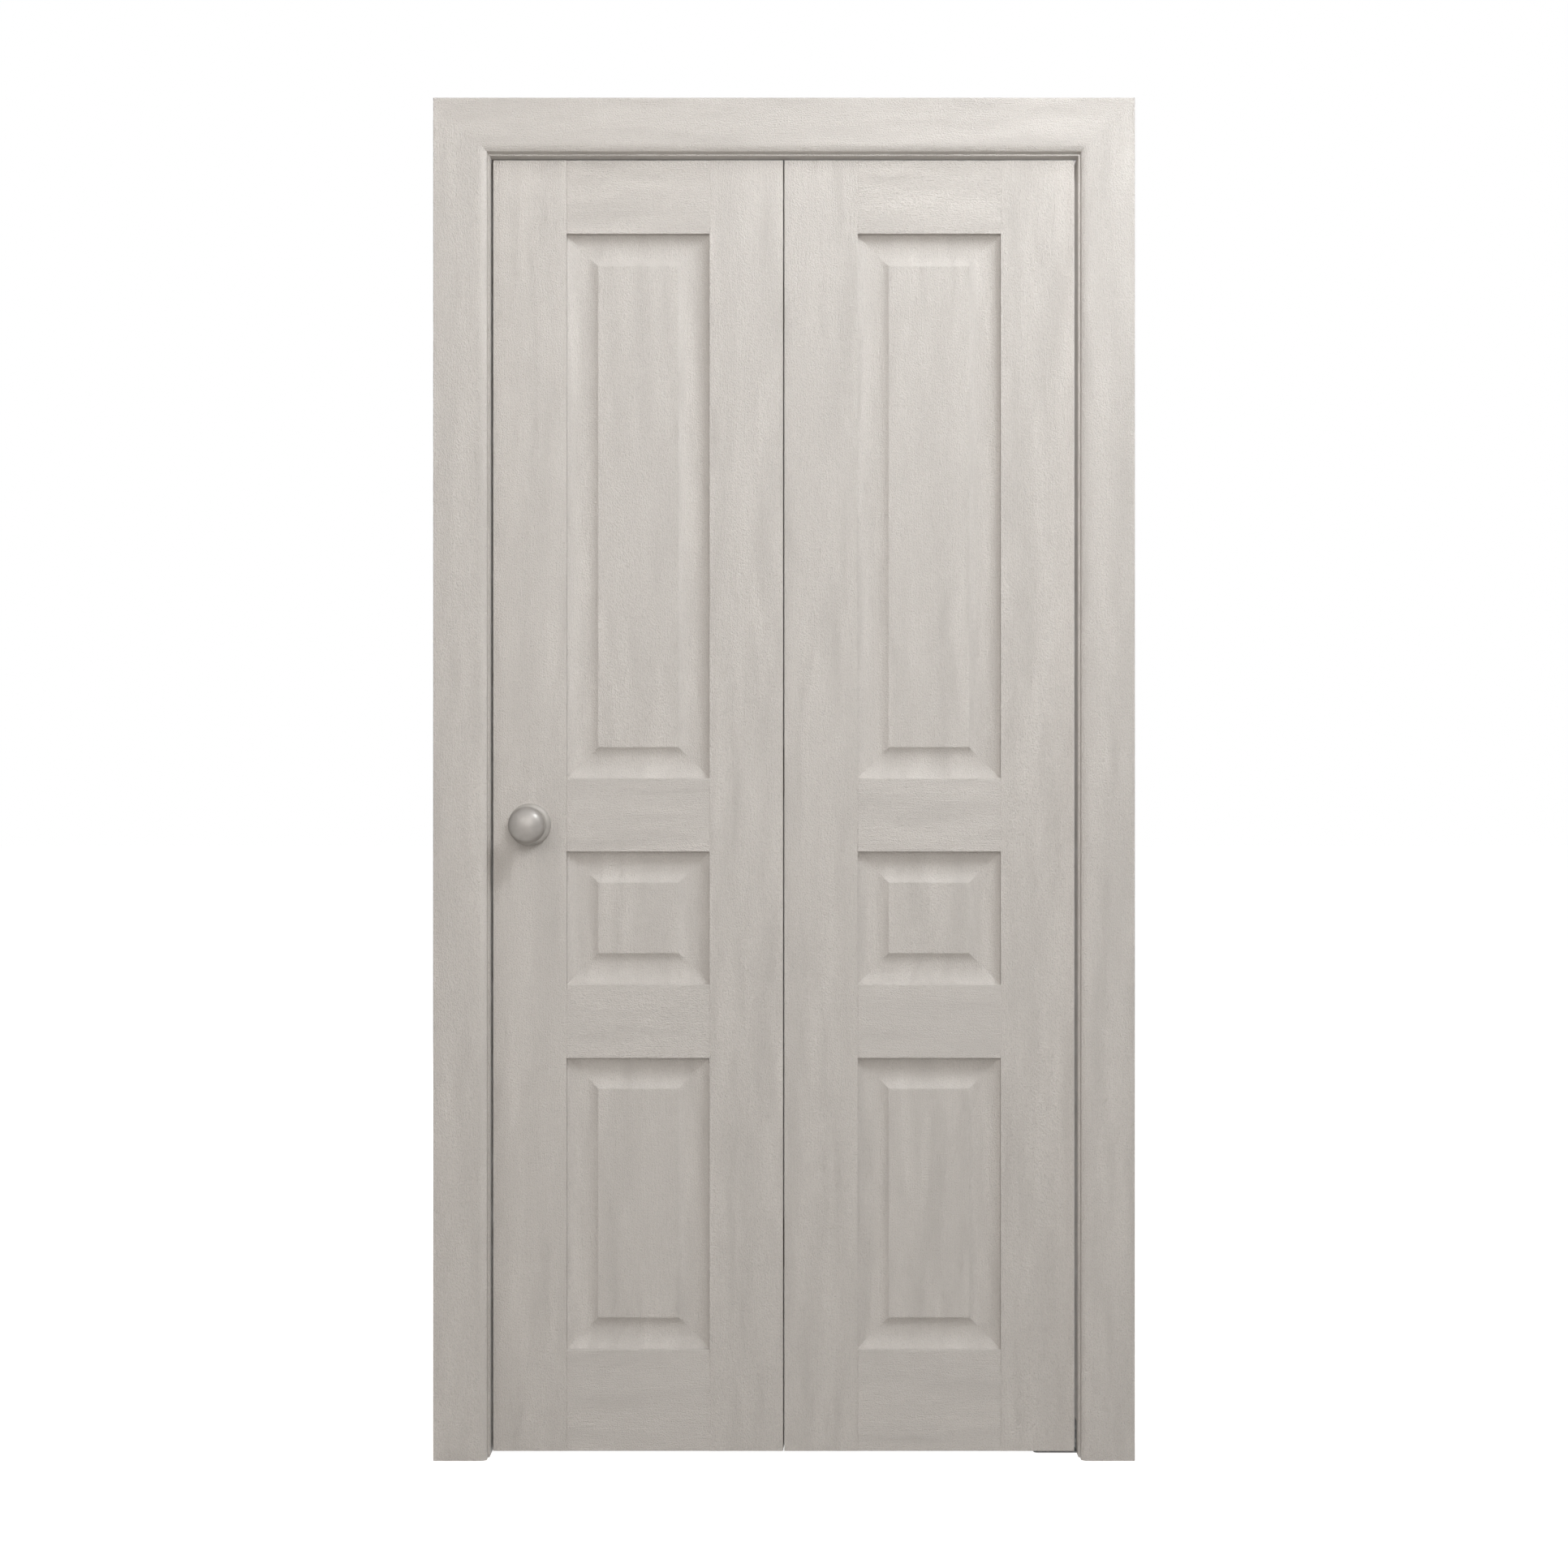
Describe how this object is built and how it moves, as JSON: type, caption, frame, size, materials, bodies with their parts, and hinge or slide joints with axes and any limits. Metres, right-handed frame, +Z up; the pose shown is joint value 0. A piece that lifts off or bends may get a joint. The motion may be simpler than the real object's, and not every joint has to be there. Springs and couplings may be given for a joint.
{
  "type": "bifold closet door",
  "caption": "Cased bifold closet door: a pair of raised-panel leaves folds on surface hinges, turning on pivots at the right jamb and led by a guide wheel in a head track.",
  "frame": {"origin": "on the floor, in the middle of the overall width and depth", "axes": "+Z up, -Y the room side with the knob, +Y into the closet, +X to the right seen from the room"},
  "size_m": [1.0808, 0.159, 2.0987],
  "materials": {
    "painted_wood": "satin warm light grey paint over a raised wood grain",
    "bare_wood": "bare fluted hardwood, glued in",
    "satin_nickel": "satin nickel plate",
    "nylon": "natural white moulded nylon",
    "spring_steel": "oiled spring wire",
    "zinc_plated_steel": "bright zinc plate"
  },
  "bodies": {
    "frame": {"jamb_left": "painted_wood", "jamb_right": "painted_wood", "jamb_head": "painted_wood", "jamb_screws": "zinc_plated_steel", "casing_left": "painted_wood", "casing_right": "painted_wood", "casing_head": "painted_wood", "casing_nails": "zinc_plated_steel", "track": "zinc_plated_steel", "track_screws": "zinc_plated_steel", "top_pivot_bracket": "nylon", "top_bracket_screws": "zinc_plated_steel", "bottom_pivot_bracket": "zinc_plated_steel", "bottom_bracket_screws": "zinc_plated_steel"},
    "pivot_leaf": {"right_bottom_rail": "painted_wood", "right_dowels": "bare_wood", "right_hinge_screws": "zinc_plated_steel", "right_low_panel": "painted_wood", "right_lower_lock_rail": "painted_wood", "right_meeting_stile": "painted_wood", "right_outer_stile": "painted_wood", "right_square_panel": "painted_wood", "right_tall_panel": "painted_wood", "right_top_rail": "painted_wood", "right_upper_lock_rail": "painted_wood", "top_pivot_socket": "nylon", "top_pivot_spring": "spring_steel", "bottom_pivot_socket": "nylon", "bottom_pivot_pin": "zinc_plated_steel", "top_hinge_right_plate": "zinc_plated_steel", "middle_hinge_right_plate": "zinc_plated_steel", "bottom_hinge_right_plate": "zinc_plated_steel", "top_hinge_pin": "zinc_plated_steel", "middle_hinge_pin": "zinc_plated_steel", "bottom_hinge_pin": "zinc_plated_steel"},
    "lead_leaf": {"left_bottom_rail": "painted_wood", "left_dowels": "bare_wood", "left_hinge_screws": "zinc_plated_steel", "left_low_panel": "painted_wood", "left_lower_lock_rail": "painted_wood", "left_meeting_stile": "painted_wood", "left_outer_stile": "painted_wood", "left_square_panel": "painted_wood", "left_tall_panel": "painted_wood", "left_top_rail": "painted_wood", "left_upper_lock_rail": "painted_wood", "guide_socket": "nylon", "guide_spring": "spring_steel", "knob": "satin_nickel", "knob_rose": "satin_nickel", "knob_bolt": "zinc_plated_steel", "top_hinge_left_plate": "zinc_plated_steel", "middle_hinge_left_plate": "zinc_plated_steel", "bottom_hinge_left_plate": "zinc_plated_steel"},
    "pivot_plunger": {"top_pivot_pin": "zinc_plated_steel"},
    "guide_plunger": {"guide_pin": "zinc_plated_steel", "guide_cap": "zinc_plated_steel"},
    "guide_wheel": {"guide_wheel": "nylon"}
  },
  "joints": [
    {"name": "pivot_swing", "type": "hinge", "parent": "frame", "child": "pivot_leaf", "pos_m": [0.41315, -0.004, 0], "axis": [0, 0, 1], "range_deg": [0, 85]},
    {"name": "fold_hinge", "type": "hinge", "parent": "pivot_leaf", "child": "lead_leaf", "pos_m": [-0.00055, 0.0173, 0], "axis": [0, 0, 1], "range_deg": [-170, 0]},
    {"name": "pivot_pin_press", "type": "slide", "parent": "pivot_leaf", "child": "pivot_plunger", "axis": [0, 0, 1], "range_m": [-0.0125, 0], "stiffness_N_per_m": 1000, "springref_m": 0.012, "deforming": ["top_pivot_spring"]},
    {"name": "guide_press", "type": "slide", "parent": "lead_leaf", "child": "guide_plunger", "axis": [0, 0, 1], "range_m": [-0.0105, 0], "stiffness_N_per_m": 1000, "springref_m": 0.012, "deforming": ["guide_spring"]},
    {"name": "wheel_spin", "type": "hinge", "parent": "guide_plunger", "child": "guide_wheel", "pos_m": [-0.41425, -0.004, 2.019], "axis": [0, 0, 1], "continuous": true}
  ],
  "couplings": [
    {"joint": "fold_hinge", "follows": "pivot_swing", "ratio": -2}
  ]
}
